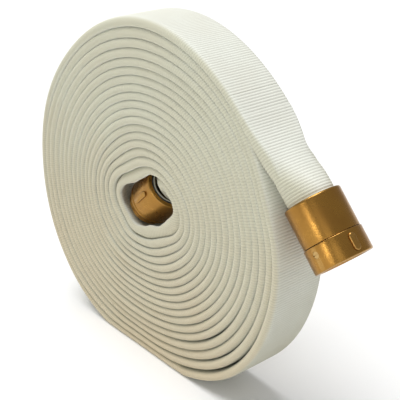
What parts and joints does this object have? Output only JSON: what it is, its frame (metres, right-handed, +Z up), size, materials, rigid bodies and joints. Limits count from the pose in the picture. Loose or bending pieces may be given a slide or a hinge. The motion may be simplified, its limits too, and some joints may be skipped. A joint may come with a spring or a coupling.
{
  "type": "rolled fire hose",
  "caption": "Woven lay-flat fire hose in a standing roll, with a brass swivel coupling on its free end and a threaded male coupling in the middle.",
  "frame": {"origin": "centre of the flat that the roll rests on, under the roll's axis and midway across its width", "axes": "+Z up, +X towards the free end and its swivel coupling, +Y along the roll's axis away from the face that shows the turns from the front"},
  "size_m": [0.5002, 0.07, 0.4109],
  "materials": {
    "lined_hose": "off-white woven polyester jackets over a rubber liner",
    "woven_jacket": "off-white woven polyester",
    "liner_rubber": "smooth black rubber",
    "cast_brass": "satin machined brass",
    "gasket_rubber": "matt black rubber",
    "ring_brass": "drawn brass",
    "ball_steel": "polished stainless steel"
  },
  "bodies": {
    "roll": {"hose_roll": "lined_hose", "hose_inner_end": "lined_hose", "male_outer_jacket_end": "woven_jacket", "male_inner_jacket_end": "woven_jacket", "male_liner_end": "liner_rubber", "male_body": "cast_brass", "male_tail_gasket": "gasket_rubber", "male_expansion_ring": "ring_brass"},
    "free_end": {"hose_tail": "lined_hose", "female_outer_jacket_end": "woven_jacket", "female_inner_jacket_end": "woven_jacket", "female_liner_end": "liner_rubber", "female_bowl": "cast_brass", "female_tail_gasket": "gasket_rubber", "female_expansion_ring": "ring_brass", "swivel_balls": "ball_steel"},
    "swivel": {"female_swivel": "cast_brass", "ball_plug": "ring_brass", "swivel_gasket": "gasket_rubber"}
  },
  "joints": [
    {"name": "tail_lift", "type": "hinge", "parent": "roll", "child": "free_end", "pos_m": [0.15092, 0, 0.34374], "axis": [0, -1, 0], "range_deg": [0, 45]},
    {"name": "swivel_spin", "type": "hinge", "parent": "free_end", "child": "swivel", "pos_m": [0.26476, 0, 0.22902], "axis": [0.6947, 0, -0.7193], "continuous": true}
  ]
}
